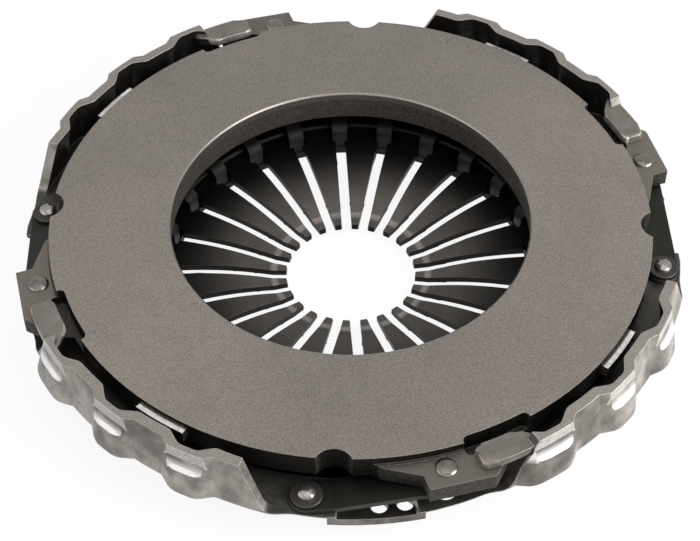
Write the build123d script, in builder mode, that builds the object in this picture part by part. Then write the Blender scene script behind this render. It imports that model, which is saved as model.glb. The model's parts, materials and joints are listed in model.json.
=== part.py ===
"""Push-type diaphragm clutch pressure plate, 430 mm friction class.

Millimetres. The origin is the centre of the plane in which the cover's rim meets the
flywheel, and +Z points at the flywheel. Angles run counter-clockwise from +X. The flywheel
bolts stand in rectangles with their sides along X and Y, and the lugs, leaf packs, stop
hooks and skirt walls repeat every quarter turn.
"""
from build123d import *
import os
from math import cos, degrees, hypot, radians, sin

os.makedirs("parts", exist_ok=True)

# Layout
quarters = 4
quarter_turn = 360 / quarters
fingers = 24
finger_pitch = 360 / fingers
slot_angle = 0.0  # first diaphragm slot; tabs and flywheel bolts lie on the same grid

# Flywheel interface of the cover
bolt_circle_r = 225.0
bolt_hole_r = 5.25
bolts_per_wall = 3
first_bolt_angle = 30.0
centring_r = 237.5
centring_depth = 14.0
centring_relief_width = 3.5
centring_relief_drop = 2.0

# Cover sheet and skirt
sheet = 6.5
rim_sheet = 7.0
skirt_flat_r = 226.0
flute_depth = 7.0
flute_half_angle = 1.7
flute_foot_angle = 4.3
flute_radius = 8.0
land_reach = 5.0
shoulder_z = -36.0
shoulder_radius = 10.0
wall_start = 26.8
wall_end = 68.8
gap_lean = 2.6  # how much further a wall reaches at the land than at the rim, in degrees
gap_corner_radius = 8.0

# Cover back
cone_top_r = 208.0
release_outer_r = 190.0
release_inner_r = 157.0
release_z = -74.0
opening_r = 132.0
seat_step_width = 8.0
press_radius = 5.0

# Sunk land with its two tool holes
tray_start = -6.0
tray_end = 7.0
tray_drop = 13.0
tray_r = 231.0
tray_wall_angle = 1.5
tray_foot_overlap = 4.9  # how far the tray floor starts outside the cone's inner side
tool_hole_r = 5.75
tool_hole_circle_r = 221.0
tool_hole_angles = (1.1, 5.5)

# Stop hooks
hook_start = 17.3
hook_end = 27.5
hook_inner_r = 212.0
hook_outer_r = 231.5
hook_thickness = 6.0
hook_end_radius = 8.0
hook_edge_radius = 2.0

# Pressure plate casting
friction_r = 215.0
bore_r = 128.8
face_drop = 5.0  # from the flywheel plane to the friction face, as supplied
plate_thickness = 25.0
bore_chamfer = 1.2
bore_land = 6.0
bore_cast_step = 0.8
draft = 1.0
rim_step_r = 200.0  # outside this radius the casting is only as thick as its lugs
rim_step_run = 3.0
ridge_r = 185.0
ridge_width = 13.0
ridge_tip_width = 6.0
ridge_tip_radius = 2.0
ridge_gaps = 24
ridge_gap_width = 6.0
ridge_gap_height = 9.0
rib_inner_r = 140.0
rib_width = 5.0
rib_height = 8.0
rib_foot = 1.0
notch_angle = -6.5
notch_centre_r = 220.0
notch_r = 13.0
pocket_start = 16.0
pocket_end = 29.0
pocket_inner_r = 210.0
pocket_outer_r = 221.0
pocket_depth = 14.0
pocket_corner_radius = 4.0
pad_start = 47.0
pad_end = 57.0
pad_r = 220.5
pad_top_drop = 3.0
pad_height = 9.0

# Lugs
lug_drop = 6.4  # from the friction face to the lug's top
lug_thickness = 12.5
lug_near_corner = (239.6, 8.4)
lug_far_corner = (241.7, 18.9)
lug_root_start = (213.0, -0.5)
lug_under_hook = (229.0, 22.7)
lug_root_end = (213.0, 25.0)
lug_corner_radius = 3.0

# Leaf springs
leaves_per_pack = 3
leaf_thickness = 1.1
leaf_width = 24.0
leaf_seat_length = 17.0
leaf_bend_radius = 12.0
leaf_cover_point = (225.3, -10.9)
leaf_lug_point = (225.5, 11.95)

# Rivets and washers
lug_rivet_r = 4.0
lug_rivet_head_r = 7.4
lug_rivet_head_height = 3.0
lug_rivet_tail_r = 7.0
lug_rivet_tail_height = 3.5
leaf_rivet_r = 4.5
leaf_rivet_head_r = 6.2
leaf_rivet_head_height = 4.0
leaf_rivet_tail_r = 7.5
leaf_rivet_tail_height = 3.0
head_edge_radius = 1.2
washer_r = 11.0
washer_thickness = 2.5
washer_edge_radius = 0.8
access_hole_r = 12.0

# Diaphragm spring
spring_thickness = 5.0
spring_outer_r = 190.0
tip_r = 48.0
tip_flat_end_r = 58.0
tip_z = -65.6
tip_bend_z = -66.2
cone_slope = 0.144
tip_bend_radius = 6.0
slot_width = 6.0
window_inner_r = 129.0
window_outer_r = 139.0
window_width = 15.0
window_corner_radius = 2.5
spring_edge_radius = 1.2

# Fulcrum rings and the tabs that hold them
pivot_r = 143.0
ring_wire_r = 2.5
ring_gap_width = 3.0
tab_width = 12.0
tab_thickness = 4.0
tab_reach_r = 149.0
tab_setback = 0.6
tab_bend_radius = 3.0

# Clearances
moving_gap = 0.3
stack_gap = 0.05
rivet_gap = 0.05
ring_seat_gap = 0.05
past = 2.0  # how far a cutting shape runs past the face it leaves
cut_reach = 28.0  # how far outside the centring diameter the skirt's cuts run

# Heights that follow
friction_z = -face_drop
plate_back_z = friction_z - plate_thickness
lug_top_z = friction_z - lug_drop
lug_under_z = lug_top_z - lug_thickness
hook_under_z = lug_top_z + moving_gap
shoulder_under_z = shoulder_z - sheet
relief_z = -centring_depth - centring_relief_drop
tray_z = shoulder_z - tray_drop
tray_under_z = tray_z - sheet
release_top_z = release_z + sheet
pack_thickness = leaves_per_pack * (leaf_thickness + stack_gap)
window_inner_edge_r = release_outer_r + past
outside_r = centring_r + cut_reach
spring_drop = spring_thickness * hypot(1, cone_slope)  # thickness measured along Z


def polar(radius, angle):
    """A point in the XY plane at this radius and angle in degrees."""
    return (radius * cos(radians(angle)), radius * sin(radians(angle)))


def spring_top_z(radius):
    """Height of the diaphragm spring's flywheel side in its conical part."""
    return tip_bend_z + cone_slope * (radius - tip_flat_end_r)


# Heights that follow from the diaphragm spring's seat
wire_lean = ring_wire_r * hypot(1, cone_slope)  # ring centre above the cone it touches
front_ring_z = spring_top_z(pivot_r) + wire_lean + ring_seat_gap
rear_ring_z = spring_top_z(pivot_r) - spring_drop - wire_lean - ring_seat_gap
seat_z = rear_ring_z - ring_wire_r - ring_seat_gap
tab_top_z = front_ring_z + ring_wire_r + ring_seat_gap + tab_thickness
ridge_tip_z = spring_top_z(ridge_r + ridge_tip_width / 2) + moving_gap


def cone_inside_r(height):
    """Radius of the cover cone's inner side at this height."""
    run = (cone_top_r - release_outer_r) / (shoulder_z - release_top_z)
    return cone_top_r + (height - shoulder_z) * run


def sector(inner_r, outer_r, start, end):
    """Draw the face between two radii and two angles into the current sketch."""
    middle = (start + end) / 2
    with BuildLine() as border:
        ThreePointArc(polar(outer_r, start), polar(outer_r, middle), polar(outer_r, end))
        Line(polar(outer_r, end), polar(inner_r, end))
        ThreePointArc(polar(inner_r, end), polar(inner_r, middle), polar(inner_r, start))
        Line(polar(inner_r, start), polar(outer_r, start))
    make_face(border.edges())


def skirt_plan():
    """Inside outline of the skirt: a flute bulges outward round each flywheel bolt."""
    crest_r = skirt_flat_r + flute_depth
    wall_bolts = [first_bolt_angle + finger_pitch * number for number in range(bolts_per_wall)]
    with BuildLine() as outline:
        for quarter in range(quarters):
            turn = quarter * quarter_turn
            for number, bolt in enumerate(wall_bolts):
                centre = bolt + turn
                foot_in = centre - flute_foot_angle
                foot_out = centre + flute_foot_angle
                Line(polar(skirt_flat_r, foot_in), polar(crest_r, centre - flute_half_angle))
                ThreePointArc(
                    polar(crest_r, centre - flute_half_angle),
                    polar(crest_r, centre),
                    polar(crest_r, centre + flute_half_angle),
                )
                Line(polar(crest_r, centre + flute_half_angle), polar(skirt_flat_r, foot_out))
                if number + 1 < bolts_per_wall:
                    next_foot = foot_in + finger_pitch
                    middle_r = skirt_flat_r
                else:
                    next_foot = wall_bolts[0] + turn + quarter_turn - flute_foot_angle
                    middle_r = skirt_flat_r + land_reach
                ThreePointArc(
                    polar(skirt_flat_r, foot_out),
                    polar(middle_r, (foot_out + next_foot) / 2),
                    polar(skirt_flat_r, next_foot),
                )
    return outline.line


# Cover ------------------------------------------------------------------------------
with BuildSketch() as inner_plan:
    add(skirt_plan())
    make_face()
    fillet(inner_plan.vertices(), flute_radius)

with BuildSketch() as outer_plan:
    add(inner_plan.sketch)
    offset(amount=rim_sheet)

# One window between two skirt walls, narrower at the land than at the rim.
with BuildPart() as gap_window:
    window_start = wall_end - quarter_turn
    with BuildSketch(Plane.XY.offset(past)):
        sector(window_inner_edge_r, outside_r, window_start, wall_start)
    with BuildSketch(Plane.XY.offset(shoulder_z)):
        sector(window_inner_edge_r, outside_r, window_start + gap_lean, wall_start - gap_lean)
    loft()
    floor_edges = gap_window.edges().group_by(Axis.Z)[0].filter_by(GeomType.LINE)
    fillet(floor_edges, gap_corner_radius)

# One tab: it rises through a diaphragm window and bends out over the front ring.
with BuildPart() as ring_tab:
    with BuildSketch(Plane.XZ):
        with BuildLine():
            tab_path = FilletPolyline(
                (opening_r + tab_setback, seat_z - sheet / 2),
                (opening_r + tab_setback, tab_top_z),
                (tab_reach_r, tab_top_z),
                radius=tab_bend_radius + tab_thickness,
            )
            offset(tab_path, amount=tab_thickness, side=Side.RIGHT)
        make_face()
    extrude(amount=tab_width / 2, both=True)

with BuildSketch() as tray_opening:
    sector(cone_top_r + sheet, outside_r, tray_start, tray_end)

with BuildPart() as tray:
    tray_inner_r = cone_inside_r(tray_under_z) + tray_foot_overlap
    with BuildSketch(Plane.XY.offset(tray_under_z)):
        sector(tray_inner_r, tray_r, tray_start - tray_wall_angle, tray_end + tray_wall_angle)
    extrude(amount=sheet)
    with BuildSketch(Plane.XY.offset(tray_z)):
        sector(cone_top_r, tray_r, tray_start - tray_wall_angle, tray_start)
        sector(cone_top_r, tray_r, tray_end, tray_end + tray_wall_angle)
    extrude(amount=tray_drop)
    with BuildSketch(Plane.XY.offset(tray_under_z)):
        for tool_hole_angle in tool_hole_angles:
            with PolarLocations(tool_hole_circle_r, 1, start_angle=tool_hole_angle):
                Circle(tool_hole_r)
    extrude(amount=sheet, mode=Mode.SUBTRACT)

with BuildPart() as stop_hook:
    with BuildSketch(Plane.XY.offset(hook_under_z)) as hook_plan:
        sector(hook_inner_r, hook_outer_r, hook_start, hook_end)
        free_end = hook_plan.vertices().sort_by(Axis.Y)[:2]
        fillet(free_end, hook_end_radius)
    extrude(amount=hook_thickness)
    fillet(stop_hook.edges().group_by(Axis.Z)[-1], hook_edge_radius)

with BuildPart() as cover:
    # Skirt and shoulder, pressed as one cup.
    with BuildSketch(Plane.XY.offset(shoulder_under_z)):
        add(outer_plan.sketch)
    extrude(amount=-shoulder_under_z)
    fillet(cover.edges().group_by(Axis.Z)[0], shoulder_radius)
    with BuildSketch(Plane.XY.offset(shoulder_z)):
        add(inner_plan.sketch)
    extrude(amount=-shoulder_z, mode=Mode.SUBTRACT)
    with BuildSketch(Plane.XY.offset(shoulder_under_z)):
        Circle(cone_top_r)
    extrude(amount=sheet, mode=Mode.SUBTRACT)
    # Cone, release face and the raised seat for the rear fulcrum ring.
    with BuildSketch(Plane.XZ):
        with BuildLine():
            inside = FilletPolyline(
                (opening_r, seat_z),
                (release_inner_r - seat_step_width, seat_z),
                (release_inner_r, release_top_z),
                (release_outer_r, release_top_z),
                (cone_top_r, shoulder_z),
                (cone_top_r + sheet, shoulder_z),
                radius=press_radius,
            )
            offset(inside, amount=sheet, side=Side.RIGHT)
        make_face()
    revolve(axis=Axis.Z)
    # Turned centring diameter with its shoulder.
    with BuildSketch(Plane.XZ):
        with BuildLine():
            Polyline(
                (centring_r, past),
                (centring_r, -centring_depth),
                (centring_r + centring_relief_width, relief_z),
                (outside_r, relief_z),
                (outside_r, past),
                close=True,
            )
        make_face()
    revolve(axis=Axis.Z, mode=Mode.SUBTRACT)
    # Windows between the four skirt walls.
    with PolarLocations(0, quarters):
        add(gap_window.part, mode=Mode.SUBTRACT)
    # Sunk land of each gap: an opening in the shoulder, then the pressed tray below it.
    with BuildSketch(Plane.XY.offset(shoulder_under_z - past)):
        with PolarLocations(0, quarters):
            add(tray_opening.sketch)
    extrude(amount=sheet + 2 * past, mode=Mode.SUBTRACT)
    with PolarLocations(0, quarters):
        add(tray.part)
    # Stop hooks and ring tabs are bent from the same sheet.
    with PolarLocations(0, quarters):
        add(stop_hook.part)
    with PolarLocations(0, fingers, start_angle=slot_angle):
        add(ring_tab.part)
    # Holes: flywheel bolts, leaf rivets and the tool holes under the lug rivets.
    with BuildSketch(Plane.XY.offset(shoulder_under_z - past)):
        for number in range(bolts_per_wall):
            bolt_angle = first_bolt_angle + finger_pitch * number
            with PolarLocations(bolt_circle_r, quarters, start_angle=bolt_angle):
                Circle(bolt_hole_r)
        with PolarLocations(leaf_cover_point[0], quarters, start_angle=leaf_cover_point[1]):
            Circle(leaf_rivet_r + rivet_gap)
        with PolarLocations(leaf_lug_point[0], quarters, start_angle=leaf_lug_point[1]):
            Circle(access_hole_r)
    extrude(amount=sheet + 2 * past, mode=Mode.SUBTRACT)

cover.part.label = "cover"
export_step(cover.part, "parts/cover.step")


# Pressure plate ---------------------------------------------------------------------
with BuildPart() as lug:
    with BuildSketch(Plane.XY.offset(lug_under_z)) as lug_plan:
        with BuildLine():
            Polyline(
                polar(*lug_root_start),
                polar(*lug_near_corner),
                polar(*lug_far_corner),
                polar(*lug_under_hook),
                polar(*lug_root_end),
                close=True,
            )
        make_face()
        fillet(lug_plan.vertices().sort_by(SortBy.DISTANCE)[-3:], lug_corner_radius)
    extrude(amount=lug_thickness)

with BuildPart() as back_rib:
    with BuildSketch(Plane.XZ):
        with BuildLine():
            Polyline(
                (rib_inner_r, plate_back_z + past),
                (rib_inner_r, plate_back_z - rib_foot),
                (ridge_r, plate_back_z - rib_height),
                (ridge_r, plate_back_z + past),
                close=True,
            )
        make_face()
    extrude(amount=rib_width / 2, both=True)

with BuildPart() as pressure_plate:
    # Ring with its bore, and the fulcrum ridge that presses on the diaphragm spring.
    with BuildSketch(Plane.XZ) as ring_section:
        with BuildLine():
            Polyline(
                (bore_r + bore_chamfer, friction_z),
                (friction_r, friction_z),
                (friction_r - draft, lug_under_z),
                (rim_step_r, lug_under_z),
                (rim_step_r - rim_step_run, plate_back_z),
                (ridge_r + ridge_width / 2, plate_back_z),
                (ridge_r + ridge_tip_width / 2, ridge_tip_z),
                (ridge_r - ridge_tip_width / 2, ridge_tip_z),
                (ridge_r - ridge_width / 2, plate_back_z),
                (bore_r + bore_cast_step + draft, plate_back_z),
                (bore_r + bore_cast_step, friction_z - bore_land),
                (bore_r, friction_z - bore_land),
                (bore_r, friction_z - bore_chamfer),
                close=True,
            )
        make_face()
        fillet(ring_section.vertices().sort_by(Axis.Y)[:2], ridge_tip_radius)
    revolve(axis=Axis.Z)
    with PolarLocations(0, fingers, start_angle=slot_angle):
        add(back_rib.part)
    with BuildSketch(Plane.XY.offset(ridge_tip_z - past)):
        with PolarLocations(ridge_r, ridge_gaps, start_angle=slot_angle + finger_pitch / 2):
            Rectangle(ridge_width + past, ridge_gap_width)
    extrude(amount=past + ridge_gap_height, mode=Mode.SUBTRACT)
    # Lugs and balance pads round the outside.
    with PolarLocations(0, quarters):
        add(lug.part)
    with BuildSketch(Plane.XY.offset(friction_z - pad_top_drop - pad_height)):
        for quarter in range(quarters):
            turn = quarter * quarter_turn
            sector(friction_r - draft - past, pad_r, pad_start + turn, pad_end + turn)
    extrude(amount=pad_height)
    # Pocket under each stop hook, notch beside each lug, hole for each lug rivet.
    with BuildSketch(Plane.XY.offset(friction_z - pocket_depth)) as pockets:
        for quarter in range(quarters):
            turn = quarter * quarter_turn
            sector(pocket_inner_r, pocket_outer_r, pocket_start + turn, pocket_end + turn)
        fillet(pockets.vertices(), pocket_corner_radius)
    extrude(amount=pocket_depth + past, mode=Mode.SUBTRACT)
    with BuildSketch(Plane.XY.offset(ridge_tip_z)):
        with PolarLocations(notch_centre_r, quarters, start_angle=notch_angle):
            Circle(notch_r)
        with PolarLocations(leaf_lug_point[0], quarters, start_angle=leaf_lug_point[1]):
            Circle(lug_rivet_r + rivet_gap)
    extrude(amount=friction_z - ridge_tip_z + past, mode=Mode.SUBTRACT)

pressure_plate.part.label = "pressure_plate"
export_step(pressure_plate.part, "parts/pressure_plate.step")


# Diaphragm spring -------------------------------------------------------------------
with BuildPart() as diaphragm_spring:
    with BuildSketch(Plane.XZ) as spring_section:
        with BuildLine():
            spring_top = FilletPolyline(
                (spring_outer_r, spring_top_z(spring_outer_r)),
                (tip_flat_end_r, tip_bend_z),
                (tip_r, tip_z),
                radius=tip_bend_radius,
            )
            offset(spring_top, amount=spring_thickness, side=Side.LEFT)
        make_face()
        fillet(spring_section.vertices().sort_by(Axis.X)[-2:], spring_edge_radius)
    revolve(axis=Axis.Z)
    slot_length = window_inner_r - tip_r + 2 * past
    with BuildSketch(Plane.XY.offset(spring_top_z(spring_outer_r))):
        with PolarLocations(window_inner_r + past - slot_length / 2, fingers, start_angle=slot_angle):
            Rectangle(slot_length, slot_width)
        with PolarLocations((window_inner_r + window_outer_r) / 2, fingers, start_angle=slot_angle):
            RectangleRounded(window_outer_r - window_inner_r, window_width, window_corner_radius)
    extrude(until=Until.LAST, dir=(0, 0, -1), mode=Mode.SUBTRACT)

diaphragm_spring.part.label = "diaphragm_spring"
export_step(diaphragm_spring.part, "parts/diaphragm_spring.step")


# Fulcrum rings ----------------------------------------------------------------------
ring_arc = 360 - degrees(ring_gap_width / pivot_r)
ring_start = slot_angle + finger_pitch / 2  # the ends of each ring lie between two tabs
ring_section_plane = Plane(
    origin=(0, 0, 0),
    x_dir=(*polar(1, ring_start), 0),
    z_dir=(*polar(1, ring_start - 90), 0),
)
for side, ring_z in (("front", front_ring_z), ("rear", rear_ring_z)):
    with BuildPart() as fulcrum_ring:
        with BuildSketch(ring_section_plane):
            with Locations((pivot_r, ring_z)):
                Circle(ring_wire_r)
        revolve(axis=Axis.Z, revolution_arc=ring_arc)
    fulcrum_ring.part.label = f"fulcrum_ring_{side}"
    export_step(fulcrum_ring.part, f"parts/fulcrum_ring_{side}.step")


# Leaf springs -----------------------------------------------------------------------
def leaf_spring(quarter, layer):
    """One leaf of a pack: flat seats at both ends and a bend up to the lug."""
    turn = quarter * quarter_turn
    start = Vector(*polar(leaf_cover_point[0], leaf_cover_point[1] + turn))
    end = Vector(*polar(leaf_lug_point[0], leaf_lug_point[1] + turn))
    reach = (end - start).length
    lay = Plane(origin=(start.X, start.Y, 0), x_dir=end - start, z_dir=(0, 0, 1))
    side_view = Plane(origin=lay.origin, x_dir=lay.x_dir, z_dir=-lay.y_dir)
    rise = layer * (leaf_thickness + stack_gap)
    cover_end_z = shoulder_z + stack_gap + rise
    lug_end_z = lug_under_z - pack_thickness + rise
    with BuildPart() as leaf:
        with BuildSketch(side_view):
            with BuildLine():
                lower_side = FilletPolyline(
                    (-leaf_width / 2, cover_end_z),
                    (leaf_seat_length, cover_end_z),
                    (reach - leaf_seat_length, lug_end_z),
                    (reach + leaf_width / 2, lug_end_z),
                    radius=leaf_bend_radius,
                )
                offset(lower_side, amount=leaf_thickness, side=Side.LEFT)
            make_face()
        extrude(amount=leaf_width / 2, both=True)
        with BuildSketch(lay.offset(cover_end_z - past)):
            with Locations((reach / 2, 0)):
                SlotCenterToCenter(reach, leaf_width)
            Circle(leaf_rivet_r + rivet_gap, mode=Mode.SUBTRACT)
            with Locations((reach, 0)):
                Circle(lug_rivet_r + moving_gap, mode=Mode.SUBTRACT)
        extrude(amount=lug_end_z - cover_end_z + leaf_thickness + 2 * past, mode=Mode.INTERSECT)
    return leaf.part


for quarter in range(quarters):
    for layer, place in enumerate(("lower", "middle", "upper")):
        leaf_part = leaf_spring(quarter, layer)
        leaf_part.label = f"leaf_spring_{quarter + 1}_{place}"
        export_step(leaf_part, f"parts/{leaf_part.label}.step")


# Rivets and washers -----------------------------------------------------------------
def rivet(shank_r, head, tail, top_z, bottom_z):
    """A closed rivet between two faces; head and tail are (radius, height)."""
    head_r, head_height = head
    tail_r, tail_height = tail
    with BuildPart() as body:
        with BuildSketch(Plane.XZ) as half:
            with BuildLine():
                Polyline(
                    (0, top_z + head_height),
                    (head_r, top_z + head_height),
                    (head_r, top_z),
                    (shank_r, top_z),
                    (shank_r, bottom_z),
                    (tail_r, bottom_z),
                    (tail_r - head_edge_radius, bottom_z - tail_height),
                    (0, bottom_z - tail_height),
                    close=True,
                )
            make_face()
            fillet(half.vertices().group_by(Axis.Y)[-1].sort_by(Axis.X)[-1], head_edge_radius)
        revolve(axis=Axis.Z)
    return body.part


lug_rivet = rivet(
    lug_rivet_r,
    (lug_rivet_head_r, lug_rivet_head_height),
    (lug_rivet_tail_r, lug_rivet_tail_height),
    lug_top_z,
    lug_under_z - pack_thickness - stack_gap,
)
pack_top_z = shoulder_z + stack_gap + pack_thickness
leaf_rivet = rivet(
    leaf_rivet_r,
    (leaf_rivet_head_r, leaf_rivet_head_height),
    (leaf_rivet_tail_r, leaf_rivet_tail_height),
    pack_top_z + washer_thickness,
    shoulder_under_z,
)

with BuildPart() as washer:
    with BuildSketch(Plane.XY.offset(pack_top_z)):
        Circle(washer_r)
        Circle(leaf_rivet_r + rivet_gap, mode=Mode.SUBTRACT)
    extrude(amount=washer_thickness)
    fillet(washer.edges().group_by(Axis.Z)[-1].sort_by(SortBy.RADIUS)[-1], washer_edge_radius)

fasteners = (
    ("lug_rivets", lug_rivet, leaf_lug_point),
    ("leaf_rivets", leaf_rivet, leaf_cover_point),
    ("leaf_washers", washer.part, leaf_cover_point),
)
for name, piece, (circle_r, angle) in fasteners:
    with BuildPart() as group:
        with PolarLocations(circle_r, quarters, start_angle=angle):
            add(piece)
    group.part.label = name
    export_step(group.part, f"parts/{name}.step")
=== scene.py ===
import json
import math

import bmesh
import bpy
import numpy as np
from mathutils import Matrix, Vector


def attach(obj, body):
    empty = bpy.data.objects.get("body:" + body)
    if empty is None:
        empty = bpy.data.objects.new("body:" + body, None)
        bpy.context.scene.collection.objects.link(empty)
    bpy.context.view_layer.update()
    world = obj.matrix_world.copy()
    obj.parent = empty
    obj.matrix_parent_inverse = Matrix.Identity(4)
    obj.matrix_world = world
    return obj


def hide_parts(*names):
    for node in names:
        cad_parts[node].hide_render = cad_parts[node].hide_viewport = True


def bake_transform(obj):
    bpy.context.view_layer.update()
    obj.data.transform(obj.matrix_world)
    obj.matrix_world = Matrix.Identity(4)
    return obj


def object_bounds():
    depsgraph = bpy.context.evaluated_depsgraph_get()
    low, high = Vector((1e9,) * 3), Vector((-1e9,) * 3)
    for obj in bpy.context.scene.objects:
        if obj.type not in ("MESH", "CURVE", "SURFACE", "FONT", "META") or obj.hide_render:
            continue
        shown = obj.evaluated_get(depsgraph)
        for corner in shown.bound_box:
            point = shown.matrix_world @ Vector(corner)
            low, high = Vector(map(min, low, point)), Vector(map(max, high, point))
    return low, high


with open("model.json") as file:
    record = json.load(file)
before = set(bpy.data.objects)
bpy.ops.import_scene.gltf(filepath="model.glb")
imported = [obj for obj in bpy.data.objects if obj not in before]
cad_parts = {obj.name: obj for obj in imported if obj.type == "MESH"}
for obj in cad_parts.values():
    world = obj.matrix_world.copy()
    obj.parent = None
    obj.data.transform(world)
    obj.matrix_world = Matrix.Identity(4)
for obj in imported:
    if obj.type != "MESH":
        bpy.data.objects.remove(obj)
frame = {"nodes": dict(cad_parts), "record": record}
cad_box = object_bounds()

# Sizes in metres, in the part's own frame: +Z points at the flywheel.
millimetre = 0.001
friction_z = -0.005
bore_r = 0.1288
centring_r = 0.2375
centring_depth = 0.014
shoulder_z = -0.036
floor_z = -0.0745
leaf_cover_point = (0.2253, -10.9)
leaf_lug_point = (0.2255, 11.95)
leaf_stations = 10
quarters = 4
quarter_turn = 90
seam = 0.001 * millimetre  # how near two points are one

# Skirt of the cover, formed on a copy of the CAD mesh. Angles are those of the first quarter,
# and a pair of angles or radii is where a change starts and where it is complete.
wall_foot_shift = 0.0060  # the walls lean outward by this from rim to foot
land_edge_shift = 0.0020
hook_side_spread = 2.4  # degrees that a wall's foot reaches on towards the hook
leaf_side_spread = 1.6  # and towards the leaves
wall_start, wall_end = (18.0, 24.5), (71.4, 78.0)
hook_side_start, hook_side_end = (16.0, 24.0), (27.0, 31.5)
leaf_side_start, leaf_side_end = (64.0, 68.5), (71.5, 78.0)
wall_ramp_r, land_ramp_r, spread_ramp_r = (0.214, 0.226), (0.224, 0.236), (0.214, 0.222)
ledge_top_z = -0.0100  # below the centring band a ledge slopes out to the lobes
centring_relief_r = 0.2410
centring_relief_z = -0.0160
bend_heights = (-0.0300, -0.0230, centring_relief_z, -centring_depth, -0.0070)
tray_top_z = -0.0433
tray_r = 0.2312
tray_start, tray_end = 81.0, 10.0  # the tray lies across the start of a quarter
bolt_circle_r = 0.225
bolt_angles = (30.0, 45.0, 60.0)
bolt_hole_clear = 0.0056  # nothing moves this near a hole's axis
leaf_hole_clear = 0.0052
access_hole_r = 0.0075
access_hole_clear = 0.0078
land_centre_r, land_edge_r = 0.0418, 0.1962  # centre and radius of the arc along the sunk land's edge
land_rounding = 0.010
plug_inner_r, plug_start, plug_spread = 0.2132, 8.75, 6.5
plug_margin = 0.05 * millimetre
sheet = 0.0065

# Stop hooks
hook_low, hook_high = -0.0111, -0.0051
hook_inner_r, hook_outer_r = 0.2190, 0.2360
hook_free_angle, hook_root_angle = 17.3, 27.0
hook_rounding = 0.0024
hook_held_z, hook_held_end = -0.0125, 26.0  # nothing above this height moves up to this angle
old_hook_low, old_hook_high = -0.0117, -0.0045

# Lugs, fingers and rivets
lug_step = ((0.2190, -2.0), (0.2450, -2.0), (0.2450, 8.55), (0.2280, 8.0), (0.2179, 1.145))
lug_low, lug_high = -0.030, -0.0060
pad_top_z = -0.0080
finger_pitch = 15.0
spring_levels = [-0.0705 + 0.0011 * step for step in range(16)]  # heights at which a finger can bend
slot_half_width, wide_slot_half_width = 0.0030, 0.0038
tip_r, finger_root_r, finger_bow = 0.048, 0.138, 0.0040
lug_top_z = -0.0114
lug_head = (lug_top_z, 0.0074, 0.0030)  # seat height, radius and rise of a rivet head
leaf_head = (-0.0300, 0.0062, 0.0040)
lug_shank = (0.0040, -0.0274, 0.0070, 0.0035)  # radius, seat of the closed end, its radius and rise
leaf_shank = (0.0045, -0.0425, 0.0075, 0.0030)
# A head's profile: share of its radius, share of its rise, and whether the tool flattens it.
dome = (
    (0.0, 1.0, False), (0.42, 0.98, True), (0.80, 0.80, True),
    (0.94, 0.52, False), (1.0, 0.22, False), (1.0, 0.0, False),
)
tail_end_share = 0.85
rivet_sides = 36
facet_turn = 17  # degrees that the facets turn from one rivet to the next
floor_half_width = 3.0

# Camera: the frame is turned by this against the direction the view is taken from.
camera_turn = math.radians(-3.5)
camera_place = Vector((0.0, -0.8488, 0.8736))
camera_aim = Vector((-0.000556, 0.0, -0.0649))
camera_roll = math.radians(-0.276)
camera_lens = 87.67
camera_sensor = 36.0


def polar(radius, angle, height=0.0):
    """A point at this radius, angle in degrees and height."""
    return Vector((radius * math.cos(math.radians(angle)), radius * math.sin(math.radians(angle)), height))


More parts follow.
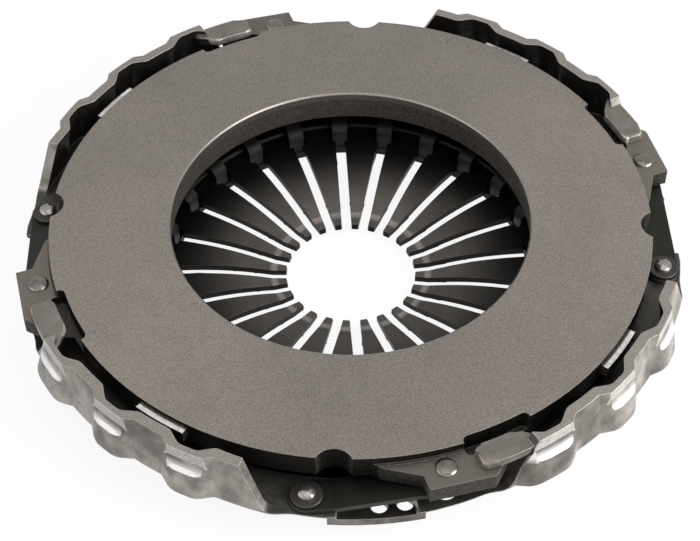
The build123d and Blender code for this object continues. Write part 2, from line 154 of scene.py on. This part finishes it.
class Metal:
    """One metal's nodes, worked out from a point's place and facing in the part's frame."""

    def __init__(self, name, metallic):
        self.material = bpy.data.materials.new(name)
        self.material.use_nodes = True
        self.tree = self.material.node_tree
        self.shader = self.tree.nodes["Principled BSDF"]
        self.shader.inputs["Metallic"].default_value = metallic
        coordinates = self.add("ShaderNodeTexCoord")
        self.place = coordinates.outputs["Object"]
        place = self.add("ShaderNodeSeparateXYZ", {0: self.place})
        self.height = place.outputs["Z"]
        plan = {"X": place.outputs["X"], "Y": place.outputs["Y"]}
        level = self.add("ShaderNodeCombineXYZ", plan).outputs[0]
        self.radius = self.add("ShaderNodeVectorMath", {0: level}, operation="LENGTH").outputs["Value"]
        outward = self.add("ShaderNodeVectorMath", {0: level}, operation="NORMALIZE").outputs["Vector"]
        normal = coordinates.outputs["Normal"]
        self.facing_up = self.add("ShaderNodeSeparateXYZ", {0: normal}).outputs["Z"]
        self.facing_out = self.add(
            "ShaderNodeVectorMath", {0: normal, 1: outward}, operation="DOT_PRODUCT"
        ).outputs["Value"]
        self.soft_normal = self.add("ShaderNodeBevel", {"Radius": 0.8 * millimetre}, samples=4).outputs[0]
        true_normal = self.add("ShaderNodeNewGeometry").outputs["Normal"]
        turned_by = self.add(
            "ShaderNodeVectorMath", {0: self.soft_normal, 1: true_normal}, operation="DOT_PRODUCT"
        ).outputs["Value"]
        self.edge = self.rises(turned_by, 0.99, 0.85)

    def add(self, kind, inputs=None, **properties):
        """Add a node; an input is a value or another node's output."""
        node = self.tree.nodes.new(kind)
        for key, value in properties.items():
            setattr(node, key, value)
        for key, value in (inputs or {}).items():
            if isinstance(value, bpy.types.NodeSocket):
                self.tree.links.new(value, node.inputs[key])
            else:
                node.inputs[key].default_value = value
        return node

    def maths(self, operation, first, second=0.0):
        return self.add("ShaderNodeMath", {0: first, 1: second}, operation=operation).outputs[0]

    def rises(self, value, low, high):
        """0 on low's side and 1 on high's side, whichever is larger."""
        ends = {"Value": value, "From Min": low, "From Max": high}
        return self.add("ShaderNodeMapRange", ends, interpolation_type="SMOOTHSTEP").outputs[0]

    def both(self, first, *others):
        for other in others:
            first = self.maths("MULTIPLY", first, other)
        return first

    def mix(self, share, first, second):
        """Colour first, with share of colour second."""
        inputs = {0: share}
        for index, colour in ((6, first), (7, second)):
            inputs[index] = colour if isinstance(colour, bpy.types.NodeSocket) else (*colour, 1.0)
        return self.add("ShaderNodeMix", inputs, data_type="RGBA").outputs[2]

    def noise(self, scale, detail=3.0):
        return self.add(
            "ShaderNodeTexNoise", {"Vector": self.place, "Scale": scale, "Detail": detail}
        ).outputs[0]

    def vary(self, colour, noise, amount):
        """Make a colour lighter and darker by up to amount."""
        spread = self.maths("MULTIPLY", self.maths("SUBTRACT", noise, 0.5), 2 * amount)
        return self.add(
            "ShaderNodeVectorMath", {0: colour, "Scale": self.maths("ADD", spread, 1.0)}, operation="SCALE"
        ).outputs["Vector"]

    def finish(self, colour, roughness, relief, depth):
        bump = self.add("ShaderNodeBump", {"Height": relief, "Distance": depth, "Normal": self.soft_normal})
        for key, value in (("Base Color", colour), ("Roughness", roughness), ("Normal", bump.outputs[0])):
            self.tree.links.new(value, self.shader.inputs[key])
        return self.material


def cast_iron():
    """Ground face and turned bore edge on a casting that is rough elsewhere."""
    m = Metal("ground_cast_iron", 0.85)
    up = m.rises(m.facing_up, 0.90, 0.97)
    inward = m.rises(m.facing_out, -0.5, -0.8)
    ground = m.both(up, m.rises(m.height, friction_z - 0.0008, friction_z - 0.0002))
    bore_band = m.both(inward, m.rises(m.height, friction_z - 0.0064, friction_z - 0.0056))
    chamfer = m.both(
        m.rises(m.radius, bore_r + 0.0011, bore_r + 0.0009),
        m.rises(m.height, friction_z - 0.0013, friction_z - 0.0009),
    )
    inside_bore = m.both(inward, m.rises(m.radius, 0.136, 0.133))
    # Painted shade: the plate's outer side is made near-black, standing in for the dark gap between plate
    # and cover.
    shaded_outer_side = m.both(m.rises(m.facing_out, 0.5, 0.8), m.rises(m.radius, 0.2170, 0.2160))
    # Painted highlight: the balance pads' tops are made near-white, standing in for a glint.
    pad_glint = m.both(
        up, m.rises(m.radius, 0.2168, 0.2174), m.rises(m.height, pad_top_z - 0.0012, pad_top_z - 0.0006)
    )
    lug_top = m.both(
        up, m.rises(m.radius, 0.2160, 0.2168), m.rises(m.height, lug_top_z - 0.0010, lug_top_z - 0.0004)
    )
    grain, coarse, cloud = m.noise(1150.0, 2.0), m.noise(520.0), m.noise(14.0)
    speck = m.rises(m.noise(900.0, 1.0), 0.72, 0.77)
    colour = m.vary(m.mix(inside_bore, (0.070, 0.064, 0.057), (0.120, 0.108, 0.097)), coarse, 1.1)
    # Painted shade of the gap between plate and cover, on the plate's outer side.
    colour = m.mix(shaded_outer_side, colour, m.vary((0.022, 0.020, 0.017), coarse, 1.6))
    colour = m.mix(lug_top, colour, m.vary((0.138, 0.122, 0.107), grain, 0.5))
    face = m.mix(m.maths("MULTIPLY", speck, 0.8), (0.210, 0.189, 0.167), (0.040, 0.037, 0.034))
    face = m.vary(m.vary(face, grain, 0.85), cloud, 0.14)
    colour = m.mix(ground, colour, face)
    colour = m.mix(bore_band, colour, m.vary((0.150, 0.136, 0.121), grain, 0.7))
    colour = m.mix(m.maths("MULTIPLY", m.edge, 0.22), colour, (0.42, 0.39, 0.35))
    colour = m.mix(chamfer, colour, (0.25, 0.23, 0.21))
    # Painted highlight on the balance pads' tops.
    colour = m.mix(pad_glint, colour, m.vary((0.62, 0.60, 0.57), m.noise(300.0, 3.0), 0.6))
    fine = m.maths("MAXIMUM", m.maths("MAXIMUM", ground, bore_band), m.maths("MULTIPLY", lug_top, 0.8))
    bright = m.maths("MAXIMUM", chamfer, pad_glint)
    roughness = m.maths("SUBTRACT", 0.66, m.maths("MULTIPLY", fine, 0.22))
    roughness = m.maths("SUBTRACT", roughness, m.maths("MULTIPLY", bright, 0.22))
    relief = m.maths("MULTIPLY", coarse, m.maths("SUBTRACT", 1.0, m.maths("MULTIPLY", fine, 0.9)))
    # The grinding marks run round the axis, so the sheen fans out along radii.
    around = m.add("ShaderNodeTangent", direction_type="RADIAL", axis="Z")
    m.tree.links.new(around.outputs[0], m.shader.inputs["Tangent"])
    m.shader.inputs["Anisotropic"].default_value = 0.55
    return m.finish(colour, roughness, relief, 0.5 * millimetre)


def pressed_steel():
    """Oily pressed sheet with a sheared rim and a bright turned centring band."""
    m = Metal("pressed_steel", 0.5)
    up = m.rises(m.facing_up, 0.70, 0.90)
    rim = m.both(up, m.rises(m.height, -0.0012, -0.0006))
    inward = m.both(m.rises(m.facing_out, 0.10, -0.20), m.rises(m.height, -0.0002, -0.0008))
    at_centring = m.both(
        m.rises(m.radius, centring_r - 0.0006, centring_r - 0.0002),
        m.rises(m.radius, centring_r + 0.0006, centring_r + 0.0002),
    )
    band = m.both(at_centring, m.rises(m.height, ledge_top_z - 0.0004, ledge_top_z))
    # Painted highlight: the sloped ledge below the centring band is made near-white further down.
    crescent_glint = m.both(
        m.rises(m.facing_up, 0.20, 0.35),
        m.rises(m.radius, centring_r - 0.0002, centring_r + 0.0001),
        m.rises(m.height, -0.0180, -0.0170),
        m.rises(m.height, ledge_top_z + 0.0004, ledge_top_z),
    )
    land = m.both(up, m.rises(m.height, -0.028, -0.031))
    hook = m.both(
        m.rises(m.height, -0.0130, -0.0110),
        m.rises(m.height, -0.0036, -0.0046),
        m.rises(m.radius, hook_outer_r + 0.0005, hook_outer_r),
    )
    back = m.rises(m.facing_up, -0.2, -0.6)
    front = m.maths("SUBTRACT", 1.0, back)
    tabs = m.both(m.rises(m.radius, 0.172, 0.166), front)
    tray_side_shade = m.both(m.rises(m.radius, 0.2305, 0.2315), m.rises(m.height, tray_top_z + 0.0004, tray_top_z))
    inside_hook = m.both(hook, m.rises(m.radius, 0.2240, 0.2225))
    grain, stain, cloud = m.noise(900.0), m.noise(85.0, 5.0), m.noise(22.0, 4.0)
    panel = m.rises(cloud, 0.40, 0.58)
    colour = m.vary(m.mix(panel, (0.165, 0.147, 0.130), (0.360, 0.332, 0.300)), stain, 1.0)
    colour = m.vary(colour, grain, 0.35)
    colour = m.mix(back, colour, m.vary((0.13, 0.118, 0.104), stain, 0.35))
    # The sheet's inward faces, apart from inside the hooks, go near-black: partly the dark oily sheet,
    # partly painted shade.
    colour = m.mix(m.both(inward, m.maths("SUBTRACT", 1.0, inside_hook)), colour, (0.020, 0.018, 0.016))
    colour = m.mix(land, colour, (0.050, 0.046, 0.040))
    # Painted shade: the front-facing outer wall of each tray goes near-black.
    colour = m.mix(m.both(tray_side_shade, front), colour, (0.030, 0.027, 0.023))
    # Painted shade: the tabs deep in the bore go near-black.
    colour = m.mix(tabs, colour, (0.008, 0.007, 0.006))
    colour = m.mix(m.both(hook, up), colour, m.vary((0.165, 0.146, 0.129), stain, 0.45))
    # Painted highlight: the rounded inner edges of the hooks are made lighter.
    rolled_edge_glint = m.both(inside_hook, m.rises(m.facing_up, 0.97, 0.60))
    colour = m.mix(rolled_edge_glint, colour, m.vary((0.430, 0.405, 0.375), stain, 0.5))
    colour = m.mix(rim, colour, m.vary((0.240, 0.218, 0.194), grain, 0.75))
    colour = m.mix(band, colour, m.vary((0.52, 0.50, 0.47), m.noise(420.0, 4.0), 0.55))
    # Painted highlight: the ledge under the centring band goes near-white, standing in for a glint.
    colour = m.mix(crescent_glint, colour, (0.80, 0.79, 0.77))
    worn = m.maths("MULTIPLY", m.edge, m.maths("SUBTRACT", 0.60, m.maths("MULTIPLY", tabs, 0.60)))
    colour = m.mix(worn, colour, (0.62, 0.59, 0.55))
    roughness = m.maths("ADD", 0.26, m.maths("MULTIPLY", stain, 0.26))
    roughness = m.maths("ADD", roughness, m.maths("MULTIPLY", tabs, 0.25))
    relief = m.maths("ADD", m.maths("MULTIPLY", grain, 0.15), m.maths("MULTIPLY", stain, 2.2))
    return m.finish(colour, roughness, relief, 0.5 * millimetre)


def diaphragm_steel():
    """Spring steel: darker outward, lighter and browner towards the finger tips."""
    m = Metal("spring_steel", 0.9)
    grain, cloud = m.noise(1300.0), m.noise(45.0)
    level = m.rises(m.facing_up, 0.55, 0.80)
    colour = m.mix(m.rises(m.radius, 0.062, 0.122), (0.082, 0.074, 0.066), (0.012, 0.011, 0.010))
    # Painted shade: faces that don't face up, the slot walls, go near-black.
    colour = m.mix(level, (0.008, 0.007, 0.006), colour)
    # Painted highlight: a lighter ring near the finger tips, where they bend.
    bend_glint = m.both(level, m.rises(m.radius, 0.0535, 0.0560), m.rises(m.radius, 0.0610, 0.0580))
    colour = m.mix(m.maths("MULTIPLY", bend_glint, 0.35), colour, (0.42, 0.39, 0.36))
    colour = m.mix(m.maths("MULTIPLY", m.edge, 0.12), colour, (0.25, 0.23, 0.21))
    colour = m.vary(m.vary(colour, cloud, 0.35), grain, 0.40)
    roughness = m.maths("ADD", 0.36, m.maths("MULTIPLY", cloud, 0.14))
    roughness = m.maths("SUBTRACT", roughness, m.maths("MULTIPLY", bend_glint, 0.12))
    return m.finish(colour, roughness, grain, 0.12 * millimetre)


def rivet_steel():
    """Heads as dull as the lugs they sit on, and brighter ones struck over the washers."""
    m = Metal("rivet_steel", 0.9)
    grain, stain = m.noise(1100.0), m.noise(240.0, 3.0)
    struck = m.rises(m.height, -0.0200, -0.0240)
    colour = m.mix(struck, (0.155, 0.140, 0.124), (0.260, 0.245, 0.225))
    colour = m.vary(m.vary(colour, stain, 0.6), grain, 0.3)
    # Painted reflection: the sides of the heads are made lighter, as if they mirrored the pale floor.
    side = m.rises(m.facing_up, 0.80, 0.45)
    colour = m.mix(m.maths("MULTIPLY", side, 0.45), colour, (0.72, 0.70, 0.67))
    roughness = m.maths("ADD", 0.17, m.maths("MULTIPLY", stain, 0.10))
    return m.finish(colour, roughness, stain, 0.20 * millimetre)


def plain_steel(name, base, worn, roughness, grain_scale, depth):
    """A steel of one finish: cloudy, grained, and lighter where its edges rub."""
    m = Metal(name, 0.9)
    grain, cloud = m.noise(grain_scale), m.noise(45.0)
    colour = m.mix(m.maths("MULTIPLY", m.edge, 0.5), base, worn)
    colour = m.vary(m.vary(colour, cloud, 0.25), grain, 0.18)
    return m.finish(colour, m.maths("ADD", roughness, m.maths("MULTIPLY", cloud, 0.14)), grain, depth)


steels = {
    "pressed_steel": pressed_steel(),
    "ground_cast_iron": cast_iron(),
    "spring_steel": diaphragm_steel(),
    "leaf_steel": plain_steel(
        "leaf_steel", (0.022, 0.022, 0.019), (0.20, 0.19, 0.18), 0.30, 1600.0, 0.08 * millimetre
    ),
    # Painted shade: the ring wire, deep under the fingers, is made near-black.
    "ring_wire": plain_steel(
        "ring_wire", (0.012, 0.011, 0.010), (0.02, 0.02, 0.02), 0.45, 1500.0, 0.06 * millimetre
    ),
    "rivet_steel": rivet_steel(),
    "washer_steel": plain_steel(
        "washer_steel", (0.050, 0.046, 0.041), (0.40, 0.38, 0.35), 0.32, 1200.0, 0.10 * millimetre
    ),
}
slot_of = {entry["node"]: entry["material_slot"] for entry in frame["record"]["subparts"]}
for name, node in frame["nodes"].items():
    node.data.materials.clear()
    node.data.materials.append(steels[slot_of[name]])


def dressed_copy(node_name, name):
    """A free copy of a CAD node's mesh."""
    mesh = frame["nodes"][node_name].data.copy()
    piece = bpy.data.objects.new(name, mesh)
    bpy.context.scene.collection.objects.link(piece)
    return piece


def welded_copy(node_name, name):
    """A free copy with its seams joined, ready to be reshaped."""
    piece = dressed_copy(node_name, name)
    if "custom_normal" in piece.data.attributes:
        piece.data.attributes.remove(piece.data.attributes["custom_normal"])
    shape = bmesh.new()
    shape.from_mesh(piece.data)
    bmesh.ops.remove_doubles(shape, verts=shape.verts, dist=seam)
    shape.to_mesh(piece.data)
    shape.free()
    return piece


def cut_level(mesh, heights):
    """Add edges to a mesh at these heights, so that it can bend there."""
    shape = bmesh.new()
    shape.from_mesh(mesh)
    for height in heights:
        everything = shape.verts[:] + shape.edges[:] + shape.faces[:]
        bmesh.ops.bisect_plane(shape, geom=everything, plane_co=(0, 0, height), plane_no=(0, 0, 1))
    shape.to_mesh(mesh)
    shape.free()


def arc(radius, start, end, steps=8):
    """Points on an arc about the axis, from one angle to another."""
    return [polar(radius, start + (end - start) * step / steps) for step in range(steps + 1)]


def add_block(shape, outline, low, high, rounding=0.0):
    """Add a closed upright block on a plan outline, its upper edge rounded."""
    lower = [shape.verts.new((point.x, point.y, low)) for point in outline]
    upper = [shape.verts.new((point.x, point.y, high)) for point in outline]
    shape.faces.new(list(reversed(lower)))
    top = shape.faces.new(upper)
    for index in range(len(outline)):
        after = (index + 1) % len(outline)
        shape.faces.new((lower[index], lower[after], upper[after], upper[index]))
    if rounding:
        bmesh.ops.bevel(
            shape, geom=list(top.edges), offset=rounding, segments=4, profile=0.5, affect="EDGES"
        )


def add_swept(shape, sections):
    """Add a closed solid through rings of points, each ring one section."""
    rings = [[shape.verts.new(point) for point in section] for section in sections]
    for near, far in zip(rings, rings[1:]):
        for index in range(len(near)):
            after = (index + 1) % len(near)
            shape.faces.new((near[index], near[after], far[after], far[index]))
    shape.faces.new(rings[0])
    shape.faces.new(list(reversed(rings[-1])))


def carve(piece, tool, operation):
    """Join a closed tool to a piece, or take it away."""
    bmesh.ops.recalc_face_normals(tool, faces=tool.faces)
    mesh = bpy.data.meshes.new("tool")
    tool.to_mesh(mesh)
    tool.free()
    cutter = bpy.data.objects.new("tool", mesh)
    bpy.context.scene.collection.objects.link(cutter)
    modifier = piece.modifiers.new("carve", "BOOLEAN")
    modifier.operation = operation
    modifier.solver = "EXACT"
    modifier.object = cutter
    result = piece.evaluated_get(bpy.context.evaluated_depsgraph_get())
    piece.data = bpy.data.meshes.new_from_object(result)
    piece.modifiers.clear()
    bpy.data.objects.remove(cutter)


def smooth(mesh, angle=32.0):
    mesh.shade_smooth()
    mesh.set_sharp_from_angle(angle=math.radians(angle))


def eased(value, low, high):
    """0 on low's side and 1 on high's side, with a soft start and end."""
    share = np.clip((value - low) / (high - low), 0.0, 1.0)
    return share * share * (3.0 - 2.0 * share)


def read_points(mesh):
    flat = np.empty(3 * len(mesh.vertices))
    mesh.vertices.foreach_get("co", flat)
    return flat.reshape(-1, 3)


def write_points(mesh, points):
    mesh.vertices.foreach_set("co", points.ravel())
    mesh.update()


def near_axes(points, radius, angle, reach):
    """Which points lie within reach of the four upright axes at this radius and angle."""
    close = np.zeros(len(points), dtype=bool)
    for quarter in range(quarters):
        axis = polar(radius, angle + quarter_turn * quarter)
        close |= np.hypot(points[:, 0] - axis.x, points[:, 1] - axis.y) < reach
    return close


def old_hook_outline(turn):
    """Plan of what is cleared away round a CAD hook, up to the wall it stands on."""
    return (
        arc(0.205, 29.5 + turn, 15.0 + turn, 4)
        + arc(0.245, 15.0 + turn, 26.0 + turn, 4)
        + arc(0.2261, 26.0 + turn, 29.5 + turn, 2)
    )


def new_hook_outline(turn):
    """Plan of a stop hook: squared free end, and a root that curves into the wall."""
    free = hook_free_angle + turn
    root = hook_root_angle + turn
    free_end = [
        polar(hook_inner_r + 0.0006, free + 0.5), polar(hook_inner_r + 0.0022, free),
        polar(hook_outer_r - 0.0032, free), polar(hook_outer_r - 0.0008, free + 0.6),
    ]
    root_end = [
        polar(0.2345, root + 1.0), polar(0.2310, root + 1.9), polar(0.2270, root + 1.3),
        polar(0.2232, root + 0.3), polar(0.2205, root - 0.9),
    ]
    outside = arc(hook_outer_r, free + 1.5, root, 8)
    inside = arc(hook_inner_r, root - 2.2, free + 1.4, 8)
    return free_end + outside + root_end + inside


def land_plug(turn):
    """Sections of the sunk land round an access hole, each at one angle."""
    top_z = shoulder_z - plug_margin
    low_z = shoulder_z - sheet + plug_margin
    plug = []
    for step in range(13):
        angle = plug_start + plug_spread * step / 12
        offset = land_centre_r * math.cos(math.radians(angle))
        aside = land_centre_r * math.sin(math.radians(angle))
        edge_r = offset + math.sqrt(land_edge_r ** 2 - aside ** 2) - plug_margin
        section = [(plug_inner_r, top_z), (plug_inner_r, low_z)]
        for slope in (-90, -75, -60, -45, -32, -21):
            section.append((
                edge_r - land_rounding + land_rounding * math.cos(math.radians(slope)),
                low_z + land_rounding + land_rounding * math.sin(math.radians(slope)),
            ))
        section[-1] = (section[-1][0], top_z)
        plug.append([polar(radius, angle + turn, height) for radius, height in section])
    return plug


def access_hole_outline(turn):
    axis = polar(leaf_lug_point[0], leaf_lug_point[1] + turn)
    return [axis + polar(access_hole_r, 360 * step / 32) for step in range(32)]


# The pressed cover: a copy of the CAD mesh with new hooks, smaller access holes, and walls that
# lean outward.
pressed_cover = welded_copy("cover", "pressed_cover")
old_hooks = bmesh.new()
new_metal = bmesh.new()
access_holes = bmesh.new()
for quarter in range(quarters):
    turn = quarter_turn * quarter
    add_block(old_hooks, old_hook_outline(turn), old_hook_low, old_hook_high)
    add_block(new_metal, new_hook_outline(turn), hook_low, hook_high, hook_rounding)
    add_swept(new_metal, land_plug(turn))
    add_block(access_holes, access_hole_outline(turn), shoulder_z - 2 * sheet, shoulder_z + sheet)
carve(pressed_cover, old_hooks, "DIFFERENCE")
carve(pressed_cover, new_metal, "UNION")
carve(pressed_cover, access_holes, "DIFFERENCE")
cut_level(pressed_cover.data, bend_heights)

points = read_points(pressed_cover.data)
radius = np.hypot(points[:, 0], points[:, 1])
angle = np.degrees(np.arctan2(points[:, 1], points[:, 0]))
local = np.mod(angle, quarter_turn)
drop = np.clip(-points[:, 2] / -shoulder_z, 0.0, 1.0)
in_wall = eased(local, *wall_start) * (1.0 - eased(local, *wall_end))
reach = wall_foot_shift * in_wall * eased(radius, *wall_ramp_r)
reach += land_edge_shift * (1.0 - in_wall) * eased(radius, *land_ramp_r)
spread = leaf_side_spread * eased(local, *leaf_side_start) * (1.0 - eased(local, *leaf_side_end))
spread -= hook_side_spread * eased(local, *hook_side_start) * (1.0 - eased(local, *hook_side_end))
spread *= eased(radius, *spread_ramp_r)

# What stays where it is: round the holes, in the trays, and at the hooks.
held = near_axes(points, leaf_cover_point[0], leaf_cover_point[1], leaf_hole_clear)
held |= near_axes(points, leaf_lug_point[0], leaf_lug_point[1], access_hole_clear)
for bolt_angle in bolt_angles:
    held |= near_axes(points, bolt_circle_r, bolt_angle, bolt_hole_clear)
held |= points[:, 2] < tray_top_z
held |= (radius < tray_r) & ((local < tray_end) | (local > tray_start))
held |= (local < hook_held_end) & (points[:, 2] > hook_held_z)
drop[held] = 0.0
new_radius = radius + reach * drop
new_angle = np.radians(angle + spread * drop)

# The centring band is turned to one radius, and the lobes below it begin with a sloped ledge.
turned = (points[:, 2] > -centring_depth + seam) & (new_radius > centring_r)
new_radius[turned] = centring_r
height = points[:, 2].copy()
ledge = np.interp(new_radius, (centring_r, centring_relief_r), (ledge_top_z, centring_relief_z))
level = (np.abs(height + centring_depth) < seam) & (new_radius > centring_r - seam)
under = (height > ledge) & (height <= -centring_depth + seam) & (new_radius > centring_r + seam)
height[level | under] = ledge[level | under]
points = np.column_stack((new_radius * np.cos(new_angle), new_radius * np.sin(new_angle), height))
write_points(pressed_cover.data, np.clip(points, cad_box[0], cad_box[1]))
smooth(pressed_cover.data)
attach(pressed_cover, "cover")
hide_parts("cover")

# The casting, with the step in each lug beside its leaf pack.
casting = welded_copy("pressure_plate", "ground_casting")
steps = bmesh.new()
for quarter in range(quarters):
    outline = [polar(radius, angle + quarter_turn * quarter) for radius, angle in lug_step]
    add_block(steps, outline, lug_low, lug_high)
carve(casting, steps, "DIFFERENCE")
smooth(casting.data)
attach(casting, "pressure_plate")
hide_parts("pressure_plate")

# In the clutch each leaf bends between its cover rivet and its lug rivet; here it is cut at stations along
# that span.
for quarter in range(quarters):
    turn = quarter_turn * quarter
    start = polar(leaf_cover_point[0], leaf_cover_point[1] + turn, shoulder_z)
    end = polar(leaf_lug_point[0], leaf_lug_point[1] + turn, shoulder_z)
    for place in ("lower", "middle", "upper"):
        node_name = f"leaf_spring_{quarter + 1}_{place}"
        leaf = dressed_copy(node_name, f"bending_leaf_{quarter + 1}_{place}")
        shape = bmesh.new()
        shape.from_mesh(leaf.data)
        for station in range(1, leaf_stations):
            cut = start.lerp(end, station / leaf_stations)
            everything = shape.verts[:] + shape.edges[:] + shape.faces[:]
            bmesh.ops.bisect_plane(shape, geom=everything, plane_co=cut, plane_no=end - start)
        shape.to_mesh(leaf.data)
        shape.free()
        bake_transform(leaf)
        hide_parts(node_name)

# In the clutch the diaphragm spring tips on its fulcrum rings: its rim goes with the plate, its fingers the
# other way.
# Here its fingers bow towards the flywheel, and its slots are a little wider than in CAD.
diaphragm = welded_copy("diaphragm_spring", "tipping_diaphragm_spring")
cut_level(diaphragm.data, spring_levels)
points = read_points(diaphragm.data)
radius = np.hypot(points[:, 0], points[:, 1])
angle = np.degrees(np.arctan2(points[:, 1], points[:, 0]))
slot = finger_pitch * np.round(angle / finger_pitch)
aside = radius * np.sin(np.radians(angle - slot))
along = radius * np.cos(np.radians(angle - slot))
on_slot = np.abs(np.abs(aside) - slot_half_width) < 0.1 * millimetre
aside[on_slot] = np.sign(aside[on_slot]) * wide_slot_half_width
bow = finger_bow * np.sin(np.pi * np.clip((radius - tip_r) / (finger_root_r - tip_r), 0.0, 1.0))
slot = np.radians(slot)
points = np.column_stack((
    along * np.cos(slot) - aside * np.sin(slot),
    along * np.sin(slot) + aside * np.cos(slot),
    points[:, 2] + bow,
))
write_points(diaphragm.data, points)
smooth(diaphragm.data)
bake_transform(diaphragm)
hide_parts("diaphragm_spring")


def flattened(radius, turn, facets):
    """The radius, cut back between the corners of a polygon with this many sides."""
    within = math.radians(turn % (360 / facets) - 180 / facets)
    return radius * math.cos(math.pi / facets) / math.cos(within)


def closed_rivets(name, node_name, body, point, head, shank, facets):
    """Four rivets with domed heads; facets flatten the dome where the tool has struck it."""
    seat, head_r, rise = head
    shank_r, tail_seat, tail_r, tail_rise = shank
    profile = [(head_r * out, seat + rise * up, flat) for out, up, flat in dome]
    profile.append((shank_r, seat, False))
    profile.append((shank_r, tail_seat, False))
    profile.append((tail_r, tail_seat, False))
    profile.append((tail_end_share * tail_r, tail_seat - tail_rise, False))
    profile.append((0.0, tail_seat - tail_rise, False))
    shape = bmesh.new()
    for quarter in range(quarters):
        axis = polar(point[0], point[1] + quarter_turn * quarter)
        rings = []
        for radius, height, flat in profile:
            if radius == 0.0:
                rings.append([shape.verts.new(axis + Vector((0, 0, height)))] * rivet_sides)
                continue
            ring = []
            for side in range(rivet_sides):
                turn = 360 * side / rivet_sides
                reach = radius
                if flat and facets:
                    reach = flattened(radius, turn + facet_turn * quarter, facets)
                ring.append(shape.verts.new(axis + polar(reach, turn) + Vector((0, 0, height))))
            rings.append(ring)
        for upper, lower in zip(rings, rings[1:]):
            for side in range(rivet_sides):
                after = (side + 1) % rivet_sides
                corners = dict.fromkeys((upper[side], upper[after], lower[after], lower[side]))
                shape.faces.new(list(corners))
    bmesh.ops.recalc_face_normals(shape, faces=shape.faces)
    mesh = bpy.data.meshes.new(name)
    shape.to_mesh(mesh)
    shape.free()
    mesh.materials.append(steels[slot_of[node_name]])
    smooth(mesh, 24.0 if facets else 40.0)
    piece = bpy.data.objects.new(name, mesh)
    bpy.context.scene.collection.objects.link(piece)
    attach(piece, body)
    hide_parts(node_name)


closed_rivets(
    "domed_lug_rivets", "lug_rivets", "pressure_plate", leaf_lug_point, lug_head, lug_shank, facets=0
)
closed_rivets(
    "struck_leaf_rivets", "leaf_rivets", "cover", leaf_cover_point, leaf_head, leaf_shank, facets=6
)


# Studio ---------------------------------------------------------------------------
def seen_directly(tree):
    """1 for rays from the camera, or in a reflection or through glass."""
    rays = tree.nodes.new("ShaderNodeLightPath")
    total = rays.outputs["Is Camera Ray"]
    for other in ("Is Glossy Ray", "Is Transmission Ray"):
        largest = tree.nodes.new("ShaderNodeMath")
        largest.operation = "MAXIMUM"
        tree.links.new(total, largest.inputs[0])
        tree.links.new(rays.outputs[other], largest.inputs[1])
        total = largest.outputs[0]
    return total


scene = bpy.context.scene
for name in ("Cube", "Light", "Camera"):
    if name in bpy.data.objects:
        bpy.data.objects.remove(bpy.data.objects[name])

world = bpy.data.worlds.new("studio")
world.use_nodes = True
scene.world = world
nodes, links = world.node_tree.nodes, world.node_tree.links
white = nodes.new("ShaderNodeBackground")
ambient = nodes["Background"]
chosen = nodes.new("ShaderNodeMixShader")
white.inputs["Color"].default_value = (1, 1, 1, 1)
ambient.inputs["Color"].default_value = (1, 1, 1, 1)
ambient.inputs["Strength"].default_value = 0.35
links.new(seen_directly(world.node_tree), chosen.inputs[0])
links.new(ambient.outputs[0], chosen.inputs[1])
links.new(white.outputs[0], chosen.inputs[2])
links.new(chosen.outputs[0], nodes["World Output"].inputs["Surface"])

floor_mesh = bpy.data.meshes.new("floor")
corner_signs = ((-1, -1), (1, -1), (1, 1), (-1, 1))
corners = [(x * floor_half_width, y * floor_half_width, floor_z) for x, y in corner_signs]
floor_mesh.from_pydata(corners, [], [(0, 1, 2, 3)])
floor = bpy.data.objects.new("floor", floor_mesh)
scene.collection.objects.link(floor)
paper = bpy.data.materials.new("pale_floor")
paper.use_nodes = True
nodes, links = paper.node_tree.nodes, paper.node_tree.links
nodes.remove(nodes["Principled BSDF"])
matt = nodes.new("ShaderNodeBsdfDiffuse")
glow = nodes.new("ShaderNodeEmission")
total = nodes.new("ShaderNodeAddShader")
matt.inputs["Color"].default_value = (0.12, 0.12, 0.12, 1)
brightness = nodes.new("ShaderNodeMath")
brightness.operation = "MULTIPLY"
brightness.inputs[1].default_value = 0.90
links.new(seen_directly(paper.node_tree), brightness.inputs[0])
links.new(brightness.outputs[0], glow.inputs["Strength"])
links.new(matt.outputs[0], total.inputs[0])
links.new(glow.outputs[0], total.inputs[1])
links.new(total.outputs[0], nodes["Material Output"].inputs["Surface"])
floor_mesh.materials.append(paper)


def softbox(name, place, width, power):
    """A square area light aimed at the middle of the part."""
    lamp = bpy.data.lights.new(name, "AREA")
    lamp.size = width
    lamp.energy = power
    light = bpy.data.objects.new(name, lamp)
    light.location = place
    light.rotation_euler = (-Vector(place)).to_track_quat("-Z", "Y").to_euler()
    scene.collection.objects.link(light)


softbox("key", (1.10, -0.60, 0.95), 0.9, 11.0)
softbox("top", (0.0, -0.25, 1.60), 1.5, 7.5)
softbox("fill", (-1.20, -0.40, 0.70), 1.0, 3.0)
softbox("side", (1.20, -0.62, 0.16), 1.1, 22.0)

turn = Matrix.Rotation(camera_turn, 3, "Z")
forward = (turn @ (camera_aim - camera_place)).normalized()
level_right = forward.cross(Vector((0, 0, 1))).normalized()
level_up = level_right.cross(forward)
right = math.cos(camera_roll) * level_right + math.sin(camera_roll) * level_up
up = math.cos(camera_roll) * level_up - math.sin(camera_roll) * level_right
lens = bpy.data.cameras.new("camera")
lens.lens = camera_lens
lens.sensor_width = camera_sensor
camera = bpy.data.objects.new("camera", lens)
axes = Matrix((right, up, -forward)).transposed().to_4x4()
camera.matrix_world = Matrix.Translation(turn @ camera_place) @ axes
scene.collection.objects.link(camera)
scene.camera = camera
scene.view_settings.view_transform = "Standard"
